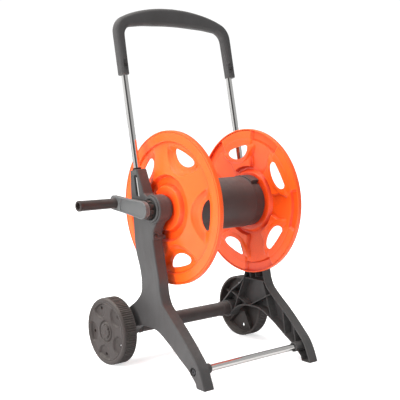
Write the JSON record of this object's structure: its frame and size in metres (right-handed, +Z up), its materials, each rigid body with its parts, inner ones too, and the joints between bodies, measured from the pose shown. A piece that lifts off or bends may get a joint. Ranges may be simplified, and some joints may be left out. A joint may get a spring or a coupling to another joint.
{
  "type": "garden hose reel cart",
  "caption": "Two-wheeled garden hose cart: open drum reel between side frames, side crank, telescopic U handle, water inlet at the hub and front foot bar.",
  "frame": {"origin": "on the ground under the middle of the whole cart's box", "axes": "+X along the reel axle away from the crank, +Y towards the wheels, +Z up"},
  "size_m": [0.5724, 0.409, 0.9071],
  "materials": {
    "frame_grey": "fine satin moulding",
    "panel_grey": "satin moulding",
    "reel_orange": "glossy moulding",
    "wheel_grey": "dull moulding",
    "black_plastic": "satin moulding",
    "chrome": "bright plated tube",
    "zinc_steel": "bright zinc plate"
  },
  "bodies": {
    "cart_frame": {"left_side_frame": "frame_grey", "right_side_frame": "frame_grey", "rear_cross_tube": "frame_grey", "wheel_axle": "zinc_steel", "front_bar": "chrome", "left_bar_plug": "black_plastic", "right_bar_plug": "black_plastic", "left_bar_screw": "zinc_steel", "right_bar_screw": "zinc_steel", "left_hub_bush": "black_plastic", "right_hub_bush": "black_plastic", "left_tube_guide": "black_plastic", "right_tube_guide": "black_plastic", "left_wheel_washer": "zinc_steel", "right_wheel_washer": "zinc_steel", "lock_screw": "zinc_steel", "water_inlet": "black_plastic", "inlet_nut": "reel_orange"},
    "reel": {"left_reel_disc": "reel_orange", "right_reel_disc": "reel_orange", "drum_core": "frame_grey", "drum_end_ring": "frame_grey", "reel_shaft": "black_plastic", "water_outlet": "black_plastic", "crank_arm": "panel_grey", "crank_hub": "black_plastic", "grip_pin": "zinc_steel"},
    "grip": {"crank_grip": "black_plastic"},
    "wheel_left": {"left_wheel": "wheel_grey", "left_hub_cap": "wheel_grey"},
    "wheel_right": {"right_wheel": "wheel_grey", "right_hub_cap": "wheel_grey"},
    "handle": {"handle_grip": "frame_grey", "left_handle_tube": "chrome", "right_handle_tube": "chrome", "left_tube_foot": "black_plastic", "right_tube_foot": "black_plastic"},
    "snap_left": {"left_snap_button": "black_plastic"},
    "snap_right": {"right_snap_button": "black_plastic"},
    "reel_lock": {"reel_lock_button": "frame_grey"}
  },
  "joints": [
    {"name": "reel_spin", "type": "hinge", "parent": "cart_frame", "child": "reel", "pos_m": [0.0418, -0.0025, 0.402], "axis": [1, 0, 0], "continuous": true},
    {"name": "grip_spin", "type": "hinge", "parent": "reel", "child": "grip", "pos_m": [-0.2327, 0.10719, 0.41025], "axis": [1, 0, 0], "continuous": true},
    {"name": "left_wheel_spin", "type": "hinge", "parent": "cart_frame", "child": "wheel_left", "pos_m": [-0.1822, 0.1195, 0.085], "axis": [1, 0, 0], "continuous": true},
    {"name": "right_wheel_spin", "type": "hinge", "parent": "cart_frame", "child": "wheel_right", "pos_m": [0.2658, 0.1195, 0.085], "axis": [1, 0, 0], "continuous": true},
    {"name": "handle_slide", "type": "slide", "parent": "cart_frame", "child": "handle", "axis": [0, 0.2164, 0.9763], "range_m": [-0.225, 0]},
    {"name": "left_snap_press", "type": "slide", "parent": "handle", "child": "snap_left", "axis": [0, 0.9763, -0.2164], "range_m": [0, 0.0015], "stiffness_N_per_m": 500},
    {"name": "right_snap_press", "type": "slide", "parent": "handle", "child": "snap_right", "axis": [0, 0.9763, -0.2164], "range_m": [0, 0.0015], "stiffness_N_per_m": 500},
    {"name": "reel_lock_press", "type": "slide", "parent": "cart_frame", "child": "reel_lock", "axis": [1, 0, 0], "range_m": [0, 0.0025]}
  ]
}
